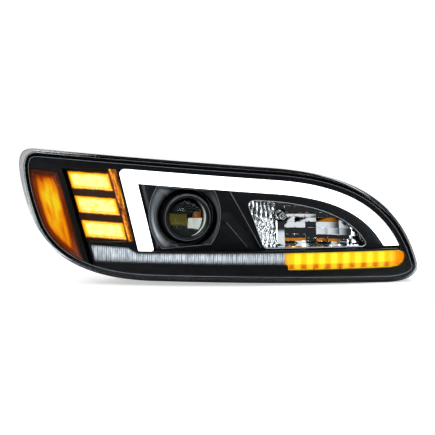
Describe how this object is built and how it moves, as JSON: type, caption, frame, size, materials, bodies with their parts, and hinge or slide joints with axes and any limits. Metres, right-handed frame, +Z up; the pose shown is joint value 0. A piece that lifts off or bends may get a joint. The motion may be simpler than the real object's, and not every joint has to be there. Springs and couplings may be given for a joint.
{
  "type": "headlight assembly",
  "caption": "Wrap-around vehicle headlight with projector low beam, reflector high beam, running light, turn signals and side marker behind one clear lens.",
  "frame": {"origin": "centre of the four rear mounting studs, on the plane of their seats", "axes": "+X towards the inboard nose, +Y rearwards into the vehicle, +Z up; the lamp shines along -Y"},
  "size_m": [0.65, 0.25, 0.219],
  "materials": {
    "housing_black": "moulded black",
    "lens_clear": "clear polycarbonate",
    "sealant": "black butyl",
    "bezel_black": "satin and gloss black",
    "guide_white": "lit white diffuser",
    "board_green": "circuit board",
    "led_white": "phosphor",
    "amber_lit": "lit amber",
    "amber_lens": "amber acrylic",
    "amber_tray": "metallised amber",
    "strip_clear": "clear prisms",
    "silvered_plastic": "vacuum metallised",
    "cast_aluminium": "die cast",
    "steel": "zinc plated",
    "brass_pin": "plated",
    "rubber_black": "moulded",
    "nylon": "natural nylon",
    "lens_glass": "polished",
    "bulb_glass": "clear quartz",
    "bulb_plastic": "moulded",
    "cap_black": "moulded black",
    "frame_grey": "glass-filled nylon"
  },
  "bodies": {
    "lamp_body": {"housing": "housing_black", "back_plate": "housing_black", "low_port_collar": "housing_black", "high_port_collar": "housing_black", "rear_posts": "housing_black", "pivot_posts": "housing_black", "outer_lens": "lens_clear", "lens_seal": "sealant", "bezel": "bezel_black", "beam_mask": "bezel_black", "projector_shroud": "bezel_black", "running_light_guide": "guide_white", "running_light_board": "board_green", "running_light_leds": "led_white", "turn_tray": "amber_tray", "turn_lens_upper": "amber_lit", "turn_lens_middle": "amber_lit", "turn_lens_lower": "amber_lit", "turn_board": "board_green", "turn_leds": "led_white", "side_marker_lens": "amber_lens", "side_marker_tray": "silvered_plastic", "side_marker_board": "board_green", "side_marker_leds": "led_white", "clear_strip": "strip_clear", "amber_strip": "amber_lit", "strip_board": "board_green", "strip_leds": "led_white", "led_driver": "cast_aluminium", "driver_screws": "steel", "connector_header": "housing_black", "connector_pins": "brass_pin", "vent_caps": "rubber_black", "mounting_studs": "steel", "bezel_screws": "steel", "pivot_studs": "steel", "adjuster_grommet": "rubber_black"},
    "beam_carrier": {"aim_frame": "frame_grey", "pivot_sockets": "nylon", "adjuster_nut": "nylon", "projector_bowl": "cast_aluminium", "cutoff_shield": "steel", "lens_holder": "cast_aluminium", "projector_lens": "lens_glass", "lens_ring": "bezel_black", "projector_screws": "steel", "high_beam_reflector": "silvered_plastic", "reflector_screws": "steel"},
    "low_beam_bulb": {"low_bulb_base": "bulb_plastic", "low_bulb_glass": "bulb_glass"},
    "high_beam_bulb": {"high_bulb_base": "bulb_plastic", "high_bulb_glass": "bulb_glass"},
    "low_cap": {"low_beam_cap": "cap_black", "low_cap_seal": "rubber_black"},
    "high_cap": {"high_beam_cap": "cap_black", "high_cap_seal": "rubber_black"},
    "aim_adjuster": {"adjuster_screw": "nylon"}
  },
  "joints": [
    {"name": "aim_tilt", "type": "hinge", "parent": "lamp_body", "child": "beam_carrier", "pos_m": [0, -0.088, -0.058], "axis": [1, 0, 0], "range_deg": [-3, 3]},
    {"name": "adjuster_turn", "type": "hinge", "parent": "lamp_body", "child": "aim_adjuster", "pos_m": [0.03, 0, 0.048], "axis": [0, 1, 0], "range_deg": [-668, 668]},
    {"name": "low_cap_twist", "type": "hinge", "parent": "lamp_body", "child": "low_cap", "pos_m": [-0.061, 0, 0.006], "axis": [0, 1, 0], "range_deg": [0, 45]},
    {"name": "high_cap_twist", "type": "hinge", "parent": "lamp_body", "child": "high_cap", "pos_m": [0.108, 0, 0.002], "axis": [0, 1, 0], "range_deg": [0, 45]},
    {"name": "low_bulb_twist", "type": "hinge", "parent": "beam_carrier", "child": "low_beam_bulb", "pos_m": [-0.061, 0, 0.006], "axis": [0, 1, 0], "range_deg": [0, 30]},
    {"name": "high_bulb_twist", "type": "hinge", "parent": "beam_carrier", "child": "high_beam_bulb", "pos_m": [0.108, 0, 0.002], "axis": [0, 1, 0], "range_deg": [0, 30]}
  ],
  "couplings": [
    {"joint": "adjuster_turn", "follows": "aim_tilt", "ratio": 222.01}
  ]
}
